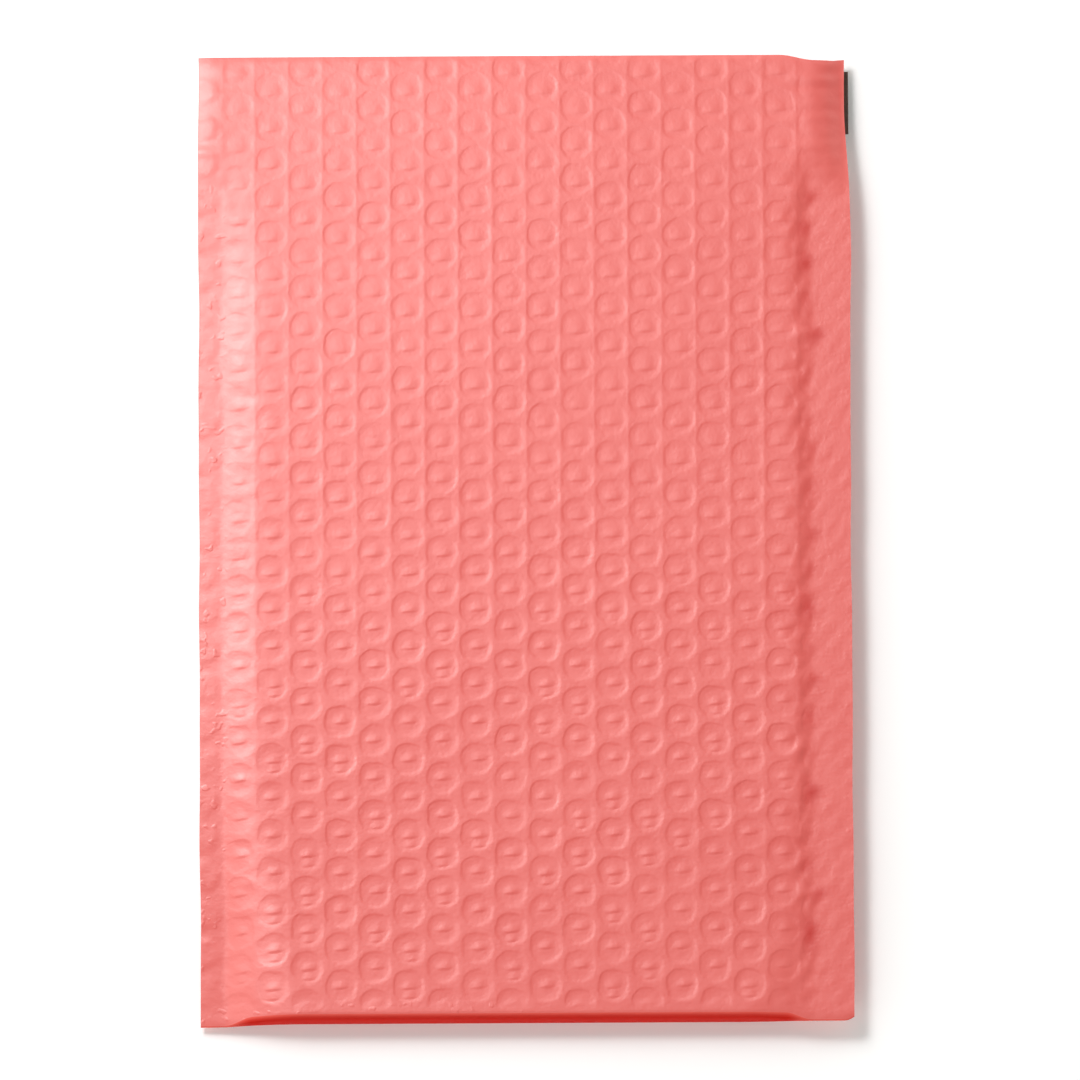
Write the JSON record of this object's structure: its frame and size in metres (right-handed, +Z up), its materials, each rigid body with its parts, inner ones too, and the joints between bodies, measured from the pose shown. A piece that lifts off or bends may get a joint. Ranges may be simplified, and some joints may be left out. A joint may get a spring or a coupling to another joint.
{
  "type": "padded poly mailer",
  "caption": "Empty padded poly mailer lying face down with its flap open: coral film with a bubble lining, folded at the bottom, welded along both sides, with a self-seal strip under the flap.",
  "frame": {"origin": "on the surface that the mailer lies on, under the middle of its outline", "axes": "+X across the mailer, +Y along it from the bottom fold to the flap, +Z up from the surface through its thickness"},
  "size_m": [0.2, 0.305, 0.0096],
  "materials": {
    "film": "satin coral polyethylene film, embossed by the bubbles behind it",
    "adhesive": "clear honey-coloured pressure-sensitive adhesive",
    "liner": "smooth dark brown release paper"
  },
  "bodies": {
    "root": {"mailer_pouch": "film", "adhesive_strip": "adhesive", "release_liner": "liner"}
  },
  "joints": []
}
